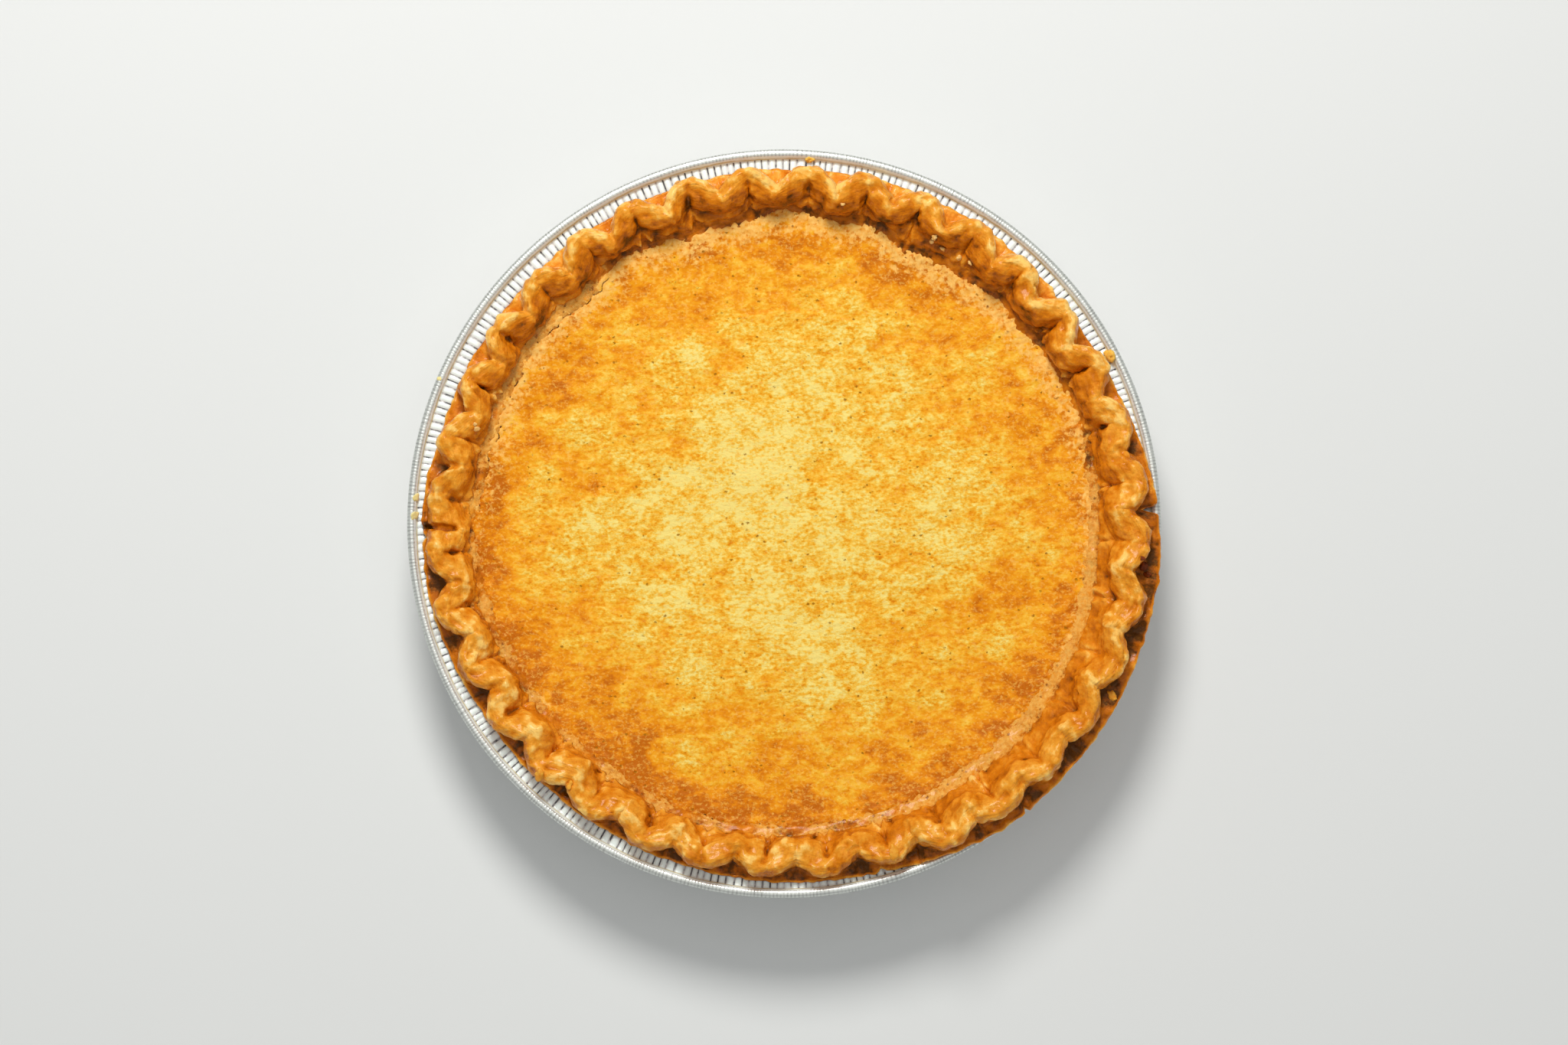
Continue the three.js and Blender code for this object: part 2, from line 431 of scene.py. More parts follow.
# the pan's section, from the axis underneath, up the wall, over the roll and back inside
def panSection(column):
    degrees = column * 360 / panColumns
    phase = column / pan["columnsPerRib"] + pan["ribWander"] * rimLump(degrees, 4, 1)
    groove = abs((phase % 1) - 0.5) * 2  # 1 in the middle of a groove
    rib = pan["ribDepth"] * (0.4 - smoothStep(0.4, 1, groove)) * (1 + 0.5 * rimLump(degrees, 3, 2))
    knurl = pan["knurl"] * math.sin(column * pan["knurlTurn"])
    dent = pan["dents"] * rimLump(degrees, 25, 3)

    def wall(height, inward, ribShare):
        flare = rib * ribShare + dent * smoothStep(2, 20, height) * smoothStep(32, 26, height)
        return (wallRadius(height) + flare - inward * wallAcross, height)

    def roll(direction):
        angle = math.radians(direction)
        wide, tall = pan["rollAcross"] - pan["rimInset"], pan["rollUp"] - pan["rimInset"]
        across = pan["rimRadius"] - wide + (wide + knurl) * math.cos(angle)
        up = pan["rimHeight"] - tall + (tall + knurl) * math.sin(angle)
        return (across - 2 * pan["rimInset"], up - 2 * pan["rimInset"])

    sheet, flange, start = pan["sheet"], pan["flangeHeight"], pan["flangeStart"]
    foot = pan["baseRadius"] - pan["baseCorner"]
    rows = [(1, 0.4), (30, 0.4), (31, 0.0), (foot - 9, 0.0), (foot - 3, 0.0), (foot, 0.0)]
    rows += [wall(pan["baseCorner"] * 0.4, 0.25, 0.2)]
    rows += [wall(height, 0, 1) for height in pan["wallHeights"]]
    rows += [(start + 0.6, flange - sheet - 0.1), (mix(start, lipX, 0.5), flange - sheet + rib * 0.6)]
    rows += [(lipX, flange - sheet + 0.3)]
    rows += [roll(direction) for direction in range(-120, 181, 25)]
    rows += [(lipX - 0.2, flange + 0.4), (lipX - 0.6, flange + rib * 0.5)]
    rows += [(mix(lipX, start, share), flange + rib) for share in (0.25, 0.45, 0.65, 0.85)]
    rows += [(start - 0.55, flange - 0.35 + rib)]
    rows += [wall(height, sheet, 1) for height in pan["insideHeights"]]
    rows += [(foot - sheet, sheet), (1, sheet)]
    return [row + (phase,) for row in rows]


def foilMaterial():
    look = Shading("brightFoil")
    x, y, z = look.parts(look.place)
    square = look.math("ADD", look.math("MULTIPLY", x, x), look.math("MULTIPLY", y, y))
    across = look.math("POWER", square, 0.5)
    onTop = look.span(z, 0.0325, 0.0328)

    # the baked line where the flange turns up into the roll
    seam = look.math("ADD", across, look.span(look.grain(110, 3), 0.3, 0.7, -0.00012, 0.00022))
    inner = look.span(seam, (lipX - 0.3) * mm, (lipX - 0.15) * mm)
    outer = look.span(seam, lipX * mm, (lipX + 0.15) * mm, 1, 0)
    stain = look.math("MULTIPLY", look.math("MULTIPLY", inner, outer), onTop, clamp=True)
    patchy = look.span(look.grain(160), 0.3, 0.55, 0.2, 0.75)
    stain = look.math("MULTIPLY", stain, patchy, clamp=True)

    # painted shade: dark lines down in the pleats, some of them hardly there
    faint = look.span(look.grain(420, 2), 0.35, 0.6, 0.25, 1)
    pleated = look.span(across, (lipX - 0.4) * mm, (lipX - 0.2) * mm, 1, 0)
    line = look.span(look.fromMiddle(look.attribute("pleat")), 0.34, 0.43)
    line = look.math("MULTIPLY", look.math("MULTIPLY", line, faint), pleated, clamp=True)

    # painted shade: dark ticks along the roll, two to a pleat
    rollStart, rollShown = (lipX + 0.3) * mm, (lipX + 0.6) * mm
    rolled = look.span(across, rollStart, rollShown)
    knurlShade = look.fromMiddle(look.math("MULTIPLY", look.attribute("pleat"), 2.0))
    knurlShade = look.span(knurlShade, 0.2, 0.4, 0, 0.45)
    knurlShade = look.math("MULTIPLY", look.math("MULTIPLY", knurlShade, rolled), faint, clamp=True)

    smear = look.span(look.grain(60, 5), 0.35, 0.7)
    metal = look.blend(smear, tone(252, 252, 250), tone(240, 240, 238))
    metal = look.blend(onTop, metal, tone(240, 252, 248))
    metal = look.blend(rolled, metal, tone(214, 217, 210))
    metal = look.blend(knurlShade, metal, tone(120, 118, 112))
    metal = look.blend(line, metal, tone(70, 70, 72))
    colour = look.blend(stain, metal, tone(206, 184, 100))
    rough = look.span(smear, 0, 1, 0.26, 0.4)
    rough = look.math("ADD", rough, look.math("MULTIPLY", stain, 0.3), clamp=True)
    metallic = look.span(across, rollStart, rollShown, 0.05, 0.55)
    metallic = look.math("SUBTRACT", metallic, look.math("MULTIPLY", stain, 0.4), clamp=True)
    crinkle = look.grain(220, 5, 0.65, warp=0.6)
    return look.give(
        Base_Color=colour, Roughness=rough, Metallic=metallic,
        Normal=look.bump(crinkle, 0.3, 0.0004),
    )


def makePan():
    bm = rolledRing(panSection, lambda column: column * 360 / panColumns, panColumns, ("pleat",))[0]
    return placed(bm, "ribbedFoilPan", "foil_pan", foilMaterial())


crustColumns = crust["flutes"] * crust["columnsPerFlute"]
# steps in each span of the pastry section: from the axis underneath to the lobe, over it, and back inside
underSteps = (1, 1, 1, 1, 1, 1, 2, 2, 2, 3, 2)
lobeSteps = 25
innerSteps = (3, 3, 3, 2, 2, 1, 1, 1)


# flutes counted round the rim, with the columns drawn together where the pastry is pinched
def fluteAt(column):
    flute = column / crust["columnsPerFlute"]
    return flute - crust["crowding"] * math.sin(4 * math.pi * flute) / (4 * math.pi)


# how far the outline has come in from a peak, 0, to a pocket, 1: a round dome, then straight arms
def domeShape(pocketness, domeShare):
    along = max(pocketness - domeShare, 0) / (1 - domeShare)
    return along * along * 1.12 / (along + 0.12)


# the fluted outline seen from above: angle, outer and inner radius, and 1 in a pocket to 0 at a peak
def outlineAt(column):
    flute = fluteAt(column)
    degrees = fluteAngle(flute)
    nearest, between = round(flute) % crust["flutes"], math.floor(flute) % crust["flutes"]
    pocketness = abs(2 * (flute - math.floor(flute)) - 1)
    peak = rimLine(crust["peak"], degrees) + 0.45 * draw(between, 9)
    pocket = rimLine(crust["pocket"], degrees) + 0.6 * draw(nearest, 8)
    if nearest in crust["closedPockets"]:
        pocket = mix(pocket, peak, 0.8)
    tongueLine = rimLine(crust["tongue"], degrees)
    tongue = tongueLine + 0.9 * draw(nearest, 4)
    notch = tongueLine + crust["notchRise"] + 0.8 * draw(between, 5)
    outer = mix(peak, pocket, domeShape(pocketness, 0.27 + 0.08 * draw(nearest, 11)))
    inner = mix(tongue, notch, (1 - pocketness) ** (2.6 + 0.7 * draw(nearest, 12)))
    return math.radians(degrees), outer, inner, pocketness, nearest, between


outlines = [outlineAt(column) for column in range(crustColumns)]


# a quarter round: 1 on an outline, falling to 0 at the width away from it
def roundOff(distance, width):
    share = 1 - min(distance / width, 1)
    return 1 - math.sqrt(1 - share * share)


# 1 on the near side of the rim, whose outer flank lies in shade, to 0 on the far side
def nearSide(angle):
    return smoothStep(0.8, -0.1, math.sin(angle))


# one column over the lobe, from the outer outline to the inner: radius, height, amber and sandy of each row
# The lobe is rounded off towards both outlines and sinks along the pinched lines.
def lobeRows(column, crest, burst):
    angle, outer, inner, pocketness, nearest, between = outlines[column]
    degrees = math.degrees(angle)
    shaded = nearSide(angle)
    twoArmed = swelling(degrees, *crust["twoArmed"])
    creaseEnd = rimLine(crust["creaseEnd"], degrees) + 0.7 * draw(between, 7)
    creaseDepth = crust["creaseDepth"] * (1 + 0.3 * draw(between, 13)) * (1 - 0.6 * burst)
    valleyDepth = max(crust["valleyDepth"] + 0.4 * draw(nearest, 6) + 0.5 * twoArmed, 0)
    tongueBulge = crust["tongueBulge"] * (1 + 0.6 * draw(nearest, 15)) * (1 - twoArmed)
    near = [outlines[(column + step) % crustColumns][:3] for step in range(-11, 12)]
    near = [(math.sin(other - angle), out, into) for other, out, into in near]
    rows = []
    for step in range(lobeSteps + 1):
        share = step / lobeSteps
        radius = mix(outer, inner, mix(share, (1 - math.cos(math.pi * share)) / 2, 0.75))
        toOuter = min(math.hypot(radius * turn, radius - out) for turn, out, into in near)
        toInner = min(math.hypot(radius * turn, radius - into) for turn, out, into in near)
        halfFlute = radius * math.pi / crust["flutes"]
        toCrease = math.hypot(pocketness * halfFlute, max(radius - creaseEnd, 0))
        toValley = (1 - pocketness) * halfFlute
        opened = smoothStep(creaseEnd + 0.5, creaseEnd - 3.5, radius)
        opened *= smoothStep(-1.2, 2.0, radius - inner)
        creaseWidth = crust["creaseWidth"] * smoothStep(creaseEnd + 6, creaseEnd - 6, radius)
        creaseWidth *= mix(1, 0.75, drawnBack(degrees))
        crease = opened * (1 - min(toCrease / max(creaseWidth, 0.8), 1)) ** 1.6
        valley = (1 - min(toValley / crust["valleyWidth"], 1)) ** 1.6
        valley *= mix(smoothStep(inner + 1, outer - 2, radius), 1, twoArmed)
        bulge = math.exp(-((toValley / crust["bulgeWidth"]) ** 2))
        bulge *= math.sin(math.pi * smoothStep(0.25, 1.0, share))
        height = crest - crust["outerRound"] * roundOff(toOuter, crust["outerRound"])
        height -= crust["innerRound"] * roundOff(toInner, crust["innerRound"])
        height -= crust["inwardFall"] * max(outer - radius - 2, 0)
        height += tongueBulge * bulge - creaseDepth * crease - valleyDepth * valley
        # deeper towards the inner outline and along the creases, and paler on the tongue's bulge as a
        # painted highlight
        amber = 0.3 + 0.25 * roundOff(toInner, 5) + 0.55 * opened * math.exp(-((toCrease / 0.4) ** 2))
        amber -= 0.1 * bulge
        # painted shade at the pockets' outer edge on the near side; on the far side the outer rim is painted
        # lighter where the light falls and the inner flank darker as shade
        amber += 0.2 * roundOff(toOuter, 1.5) * pocketness * shaded
        amber += (1 - shaded) * mix(-0.12, 0.32, smoothStep(outer - 2, outer - 7, radius))
        rows.append((radius, height, amber, 0))
    return rows


# the whole section of one column, from the axis underneath, over the lobe, and back inside to the axis
def crustSection(column):
    angle, outer, inner, pocketness, nearest, between = outlines[column]
    degrees = math.degrees(angle)
    shaded = nearSide(angle)
    back = drawnBack(degrees)
    ledge = rimLine(crust["ledge"], degrees)
    ledgeTop = clearHeight(ledge) + crust["ledgeThickness"]
    ragged = crust["ledgeRagged"] * (rimLump(degrees, 2.2, 4) + 0.6 * rimLump(degrees, 0.9, 5))
    cut = sum(depth * swelling(degrees, middle, width) for middle, width, depth in crust["splits"])
    edge = ledge + ragged - cut
    burst = swelling(degrees, *crust["burst"])
    atPeak = smoothStep(0, 1, 1 - pocketness)
    crest = ledgeTop + crust["ridgeHeight"] - crust["burstDrop"] * burst
    crest += crust["unevenness"] * (draw(between, 2) * atPeak + draw(nearest, 3) * (1 - atPeak))
    shoulder = crest - crust["outerRound"]
    foot = min(outer + 0.1, edge - 0.35)
    # the ledge's colour: deeper on the near side and most in the pockets, browning mixed with painted shade,
    # and deeper still round the dark ledge
    ledgeBrowningAndShade = 0.25 + (0.32 + 0.4 * pocketness ** 2) * shaded
    ledgeBrowningAndShade += 0.15 * swelling(degrees, *crust["darkLedge"])
    lobe = lobeRows(column, crest, burst)

    wall = fillingEdge(degrees) + filling["gap"]
    wallTop = edgeLevel(degrees)
    sandy = 1 - smoothStep(0.1, 0.5, back)
    inZ = lobe[-1][1]
    tuck = crust["tuck"] * pocketness * smoothStep(0, 2.5, inner - wall)

    # crumbs climb between the tongues where those reach the filling
    reaching = smoothStep(4, 1, rimLine(crust["tongue"], degrees) - wall)
    crumble = 0.5 * rimLump(degrees, 2.4, 18) + 0.5 * rimLump(degrees, 0.9, 19)
    sand = crust["sandHeight"] + 0.9 * rimLump(degrees, 3, 15)
    sand += reaching * (2.2 * (1 - pocketness) ** 2 - pocketness ** 2)
    sand += 0.8 * shaded * (1 - reaching)
    sandyTop = mix(0.5, 0.7, shaded) * sandy
    sandyLip = sandy * (1 - 0.8 * reaching * shaded * pocketness)

    # two folds of dough spread from each crease down to the filling
    def fold(offset):
        high = crust["webs"] * (1 + 0.6 * draw(between, 14))
        return high * math.exp(-(((pocketness - offset) / crust["webWidth"]) ** 2))

    def under(share):
        radius = mix(pan["baseRadius"] + 16, min(ledge, edge), share)
        return (radius, clearHeight(radius), 0.5, 0)

    def inward(share, tucked, fallen, offset, amber):
        web = fold(offset)
        radius = mix(inner, wall, share) + tucked - 1.1 * web
        return (radius, mix(inZ, wallTop, fallen) + 0.7 * web, amber - 0.3 * web, 0)

    below = [
        (1, pan["sheet"] + filling["gap"], 0.5, 0),
        (crust["floorRadius"] + 1, pan["sheet"] + filling["gap"], 0.5, 0),
        under(0),
        under(0.64),
        under(0.82),
        under(1),
        (edge + 0.1, ledgeTop - 1.0, 0.4, 0),
        (edge - 0.1, ledgeTop - 0.3, 0.25, 0),
        (max(edge - 0.9, foot + 0.1), ledgeTop + 0.05, ledgeBrowningAndShade, 0),
        (foot, ledgeTop + 0.15, ledgeBrowningAndShade + 0.1, 0),
        (outer + 0.1, mix(ledgeTop, shoulder, 0.6), ledgeBrowningAndShade - 0.1, 0),
        lobe[0],
    ]
    # the wall's amber is painted darker where the filling has drawn back on the far side, as shade
    inside = [
        lobe[-1],
        inward(0.2, tuck, 0.3, 0.08, 0.55 + 0.15 * back),
        inward(0.6, 0.4 * tuck, 0.66, 0.2, 0.52 + 0.2 * back),
        (wall + sand - 0.5 * fold(0.3), wallTop + 0.7 * sand, 0.6 + 0.15 * back, sandyTop),
        (wall + 0.3, wallTop + mix(0.35, 0.15, back), 0.62 + 0.15 * back, sandyLip),
        (wall - 1.0 + crumble, wallTop - mix(0.02, 0.3, back), 0.65 + 0.15 * back, sandyLip),
        (wall - 2.8 + crumble, wallTop - mix(0.65, 0.6, back), 0.7, sandyLip),
        (crust["floorRadius"], pan["sheet"] + filling["gap"] + crust["floorThickness"], 0.5, 0),
        (1, pan["sheet"] + filling["gap"] + crust["floorThickness"], 0.5, 0),
    ]
    line = roundedLine(below, underSteps)[:-1] + [list(point) for point in lobe[:-1]]
    line += roundedLine(inside, innerSteps)
    return [values + [row] for row, values in enumerate(line)]


def roughenPastry(bm, rowLayer, amber):
    firstShown = sum(underSteps[:5])
    lobeStart = sum(underSteps)
    lastShown = lobeStart + lobeSteps + sum(innerSteps[:5])
    bm.normal_update()
    moves = []
    for vert in bm.verts:
        row = vert[rowLayer]
        if not firstShown <= row <= lastShown:
            continue
        x, y, z = vert.co
        degrees = math.degrees(math.atan2(y, x))
        fade = smoothStep(firstShown - 1, firstShown + 4, row)
        fade *= smoothStep(lastShown + 1, lastShown - 4, row)
        broad = lump(x, y, z + 40, 5.5)
        small = lump(x + 90, y, z, 2.6)
        fine = lump(x, y + 90, z, 1.3)
        # wrinkles meander where one noise crosses nought, and only where another is high
        wrinkle = max(1 - abs(lump(x, y + 30, 1.6 * z, 4.2)) / 0.07, 0)
        wrinkle *= smoothStep(0.0, 0.2, lump(x, y, z + 9, 7.0))
        relief = crust["lumps"] * (broad + 0.8 * small + 0.3 * fine) - crust["wrinkles"] * wrinkle
        crackAt = crust["crackAngle"] + 0.5 * lump(x, y, 9, 3.0)
        crack = swelling(degrees, crackAt, crust["crackWidth"])
        crack *= smoothStep(crust["crackStart"] - 1, crust["crackStart"] + 1, math.hypot(x, y))
        # lobes lean to one side or the other along the rim
        lean = smoothStep(lobeStart - 4, lobeStart + lobeSteps, row)
        lean *= smoothStep(lastShown, lobeStart + lobeSteps, row)
        lean *= crust["lean"] * rimLump(degrees, 6, 10)
        sideways = Vector((-y, x, 0)).normalized() * lean
        outward = relief - crust["crackDepth"] * crack
        moves.append((vert, vert.normal * fade * outward + sideways))
        # a random mottle, with painted shade in dips, wrinkle grooves and the crack, and raised lumps paler
        # as a painted highlight
        mottleAndShade = 0.22 * lump(x, y, z, 9.0) + 0.16 * lump(x, y, z + 70, 3.2)
        mottleAndShade += 0.6 * crack + 0.15 * wrinkle - 0.15 * broad - 0.3 * small - 0.2 * fine
        vert[amber] = min(max(vert[amber] + mottleAndShade, 0.0), 1.0)
    for vert, move in moves:
        vert.co += move


def pastryMaterial():
    look = Shading("bakedPastry")
    mottle = look.span(look.grain(230, 5, 0.62), 0.25, 0.75, -0.18, 0.18)
    speck = look.span(look.grain(900, 3), 0.25, 0.75, -0.09, 0.09)
    depth = look.math("ADD", look.attribute("amber"), mottle)
    depth = look.math("ADD", depth, speck, clamp=True)
    colour = look.ramp(depth, (
        (0.0, tone(255, 204, 108)),
        (0.2, tone(238, 158, 46)),
        (0.5, tone(216, 122, 12)),
        (0.8, tone(176, 90, 4)),
        (1.0, tone(90, 46, 2)),
    ))
    freckle = look.span(look.grain(420, 4, 0.7), 0.62, 0.75, 0, 0.4)
    colour = look.blend(freckle, colour, tone(178, 92, 14))

    # crumbs of the filling along the inner edge, with holes in them painted dark as their shade
    sand = look.span(look.grain(900, 4, 0.65), 0.3, 0.7)
    crumbs = look.blend(sand, tone(222, 138, 34), tone(248, 194, 98))
    grainy = look.span(look.grain(480, 4, 0.7), 0.3, 0.7, -0.5, 0.5)
    sandy = look.span(look.math("ADD", look.attribute("sandy"), grainy), 0.45, 0.8)
    colour = look.blend(look.math("MULTIPLY", sandy, 0.85, clamp=True), colour, crumbs)
    hole = look.holes(520, 2200, size=(0.18, 0.3), picked=(0.68, 0.74))
    hole = look.math("MULTIPLY", hole, sandy, clamp=True)
    colour = look.blend(look.math("MULTIPLY", hole, 0.7), colour, tone(110, 40, 0))
    gloss = look.span(look.grain(130), 0.3, 0.7, 0.22, 0.4)
    gloss = look.math("ADD", gloss, look.math("MULTIPLY", sandy, 0.35), clamp=True)

    # fine wrinkles run along the folds, because rows of the mesh do
    x, y = look.parts(look.stretched(150))[:2]
    flow = look.tree.nodes.new("ShaderNodeCombineXYZ")
    for value, socket in zip((x, y, look.math("MULTIPLY", look.attribute("fold"), 0.5)), flow.inputs):
        look.join(value, socket)
    wrinkle = look.noiseAt(flow.outputs[0], detail=3.0, roughness=0.5, warp=0.4)
    blister = look.grain(420, 3, 0.5)
    skin = look.grain(520, 6, 0.65)
    normal = look.bump(wrinkle, 0.5, 0.001)
    normal = look.bump(blister, 0.7, 0.001, normal)
    normal = look.bump(skin, 0.5, 0.0005, normal)
    return look.give(
        Base_Color=colour, Roughness=gloss, Normal=normal, Specular_IOR_Level=0.3,
        Specular_Tint=tone(255, 196, 110), Coat_Weight=0.17, Coat_Roughness=0.16,
    )


def makeCrust():
    bm, rowLayer, extraLayers = rolledRing(
        crustSection, lambda column: fluteAngle(fluteAt(column)), crustColumns, ("amber", "sandy", "fold"),
    )
    roughenPastry(bm, rowLayer, extraLayers[0])
    return placed(bm, "flutedPastry", "pie_crust", pastryMaterial())


# x, y, size and strength of each toasted patch
toastPatches = (
    (81.7, 36.8, 3.6, 0.62), (81.0, 33.5, 2.2, 0.25), (-77.0, 41.1, 5.0, 0.34), (-79.0, 25.5, 6.0, 0.3),
    (-87.0, 1.2, 5.5, 0.28), (-84.5, -20.5, 6.0, 0.24), (-64.0, -53.8, 6.0, 0.3), (-50.0, -66.8, 6.5, 0.34),
    (-28.3, -82.1, 5.0, 0.36), (-13.0, -83.3, 5.0, 0.4), (76.7, -46.3, 6.0, 0.22), (82.4, -18.6, 4.5, 0.34),
    (42.2, 26.7, 6.0, 0.2), (-4.5, 11.3, 2.2, 0.34), (-7.8, 36.8, 3.0, 0.2), (-1.4, -42.5, 2.8, 0.24),
    (-11.6, -42.5, 2.0, 0.18), (-20.5, -32.1, 3.0, 0.14), (-5.2, -5.2, 2.6, 0.2), (-25.7, 60.0, 2.0, 0.3),
    (60.0, 62.0, 8.0, 0.16), (0.0, 80.0, 8.0, 0.16), (-55.0, 66.0, 6.0, 0.2), (30.0, -78.0, 7.0, 0.1),
)


# where a point of the square grid goes on a disc: its share of the way out, and its angle in degrees
def discPlace(a, b):
    if a == 0 and b == 0:
        return 0.0, 0.0
    if abs(a) > abs(b):
        reach, angle = abs(a), math.pi / 4 * b / a + (0 if a > 0 else math.pi)
    else:
        reach, angle = abs(b), math.pi / 2 - math.pi / 4 * a / b + (0 if b > 0 else math.pi)
    return reach, math.degrees(angle) % 360


# a point of the filling's top: its place, then the values of toast, sandy, crack and rift
def fillingTop(reach, degrees):
    angle = math.radians(degrees)
    back = drawnBack(degrees)
    edge = fillingEdge(degrees)
    ragged = abs(rimLump(degrees, 2.2, 6)) + 0.7 * abs(rimLump(degrees, 1.0, 16))
    ragged += 0.5 * abs(rimLump(degrees, 0.5, 17))
    edge -= (filling["ragged"] * ragged - 0.5) * smoothStep(0.2, 0.7, back)
    x, y = edge * reach * math.cos(angle), edge * reach * math.sin(angle)
    inside = edge * (1 - reach)  # distance in from the edge
    dish = filling["dishDepth"] * (1 - reach ** 4)
    rise = (edgeLevel(degrees) - filling["height"]) * reach ** 12
    wave = filling["wave"] * math.sin(3 * angle + 1.2) * math.sin(math.pi * reach)
    height = filling["height"] - dish + rise + wave
    south = smoothStep(0.3, -0.3, math.sin(angle + 0.14))  # the near half is smoother and browner

    crumbly = smoothStep(7, 1.0, inside) * (1 - 0.5 * swelling(degrees, 235, 45))
    crumbs = 0.45 * lump(x, y, 5, 1.1) + 0.35 * lump(x, y, 25, 2.3)
    height += crumbs * (0.16 + 0.7 * crumbly) + 0.3 * lump(x, y, 45, 9.0) + 0.06 * lump(x, y * 1.7, 3, 0.7)
    height -= 0.5 * math.exp(-inside / 0.5)

    # a crack runs just inside the edge, except on the far side
    cracked = max(share * swelling(degrees, middle, width) for middle, width, share in filling["cracked"])
    cracked *= smoothStep(-0.3, 0.1, rimLump(degrees, 2.6, 11)) * (1 - smoothStep(0.3, 0.8, back))
    crackAt = 2.2 + 1.4 * rimLump(degrees, 5, 7) + 1.6 * rimLump(degrees, 1.5, 8)
    betweenTongues = -math.cos(math.radians(crust["flutes"] * (degrees - crust["firstPocket"])))
    crackAt += south * (0.7 * betweenTongues - 1.2)
    rift = inside - crackAt
    height -= filling["crackDepth"] * cracked * math.exp(-((rift / 0.5) ** 2))

    # the middle stands a little higher and paler, as far as a line on the far side
    plateau = filling["plateauRadius"]
    raised = smoothStep(plateau, plateau - 1.3, math.hypot(x - 1, y)) * swelling(degrees, 92, 30)
    height += filling["plateauRise"] * raised

    orange = 0.2 + 0.35 * smoothStep(0.1, 1, reach) + 0.17 * smoothStep(0.72, 0.97, reach)
    brownEdge = swelling(degrees, *filling["brownEdge"])
    orange += 0.14 * max(south, brownEdge) * smoothStep(13, 5, inside)
    orange += 0.28 * lump(x, y * 1.3, 60, 17.0) + 0.26 * lump(x, y * 1.3, 80, 7.0)
    orange += 0.16 * lump(x, y * 1.5, 100, 3.2)
    orange -= 0.14 * raised
    for patchX, patchY, size, strength in toastPatches:
        away = ((x - patchX) ** 2 + (y - patchY) ** 2) / size ** 2
        if away < 6:
            orange += filling["patchDepth"] * strength * math.exp(-away)
    pale = smoothStep(11, 1, inside) * (0.9 + 0.5 * lump(x, y, 120, 4.0)) * (1 - south)
    strip = smoothStep(0.5, -0.2, rift - 1.2 * (1 - cracked) * rimLump(degrees, 3, 14))
    pale *= 1 - 0.7 * brownEdge
    pale = max(pale, strip * (1 - back) * mix(0.85, 0.45, south))
    shares = (min(max(value, 0), 1) for value in (orange, pale, cracked))
    return (x, y, height, *shares, rift)


def fillingMaterial():
    look = Shading("setCustard")
    toast = look.attribute("toast")
    streak = look.grain((230, 340, 200), 4, 0.6, turn=-8, warp=0.4)
    streak = look.span(streak, 0.3, 0.7, -0.24, 0.24)
    crumb = look.span(look.grain((760, 1060, 760), 3, turn=-8), 0.32, 0.68, -0.25, 0.25)
    # the middle is the grainiest, the browner edge the smoothest
    grainy = look.span(toast, 0.3, 0.6, 1.3, 0.35)
    mottle = look.math("ADD", streak, look.math("MULTIPLY", crumb, grainy))
    depth = look.math("ADD", toast, mottle, clamp=True)
    colour = look.ramp(depth, (
        (0.0, tone(252, 226, 128)),
        (0.2, tone(250, 206, 88)),
        (0.42, tone(246, 180, 46)),
        (0.62, tone(238, 152, 14)),
        (0.8, tone(224, 130, 4)),
        (1.0, tone(194, 100, 2)),
    ))
    fleck = look.span(look.grain((980, 1200, 980), 3), 0.52, 0.64, 0, 0.7)
    fleck = look.math("MULTIPLY", fleck, look.span(toast, 0.25, 0.5, 0.1, 0.55), clamp=True)
    colour = look.blend(fleck, colour, tone(254, 206, 96))

    # pale crumbs along the edge
    sand = look.span(look.grain(800, 4, 0.65), 0.3, 0.7)
    crumbs = look.blend(sand, tone(242, 168, 62), tone(255, 212, 122))
    speckle = look.span(look.grain(640, 3), 0.35, 0.65, -0.5, 0.5)
    sanded = look.span(look.math("ADD", look.attribute("sandy"), speckle), 0.3, 0.8, 0, 0.85)
    colour = look.blend(sanded, colour, crumbs)

    # pits where bubbles broke, and smaller holes among the pale crumbs, painted darker as the shade inside
    # them
    pit = look.holes((400, 520, 400), 1500, size=(0.1, 0.2), picked=(0.66, 0.76))
    colour = look.blend(look.math("MULTIPLY", pit, 0.85), colour, tone(160, 102, 8))
    hole = look.holes(520, 2200, size=(0.16, 0.28), picked=(0.74, 0.8))
    hole = look.math("MULTIPLY", hole, sanded, clamp=True)
    colour = look.blend(hole, colour, tone(128, 54, 0))

    # the crack along the edge, painted dark as the shade inside it
    wander = look.span(look.grain(700, 3), 0.3, 0.7, -0.22, 0.22)
    rift = look.math("ADD", look.attribute("rift"), wander)
    crack = look.span(look.math("ABSOLUTE", rift), 0.1, 0.24, 1, 0)
    crack = look.math("MULTIPLY", crack, look.span(look.attribute("crack"), 0.3, 0.55), clamp=True)
    colour = look.blend(crack, colour, tone(96, 44, 6))
    rough = look.span(depth, 0, 1, 0.52, 0.36)
    relief = look.math("MULTIPLY", look.grain((500, 760, 500), 6, 0.68, turn=-8), grainy)
    dip = look.math("SUBTRACT", 1.0, look.math("MAXIMUM", pit, crack))
    normal = look.bump(relief, 0.75, 0.0006)
    normal = look.bump(dip, 0.5, 0.0004, normal)
    return look.give(
        Base_Color=colour, Roughness=rough, Normal=normal, Specular_IOR_Level=0.22,
        Specular_Tint=tone(255, 216, 150),
    )


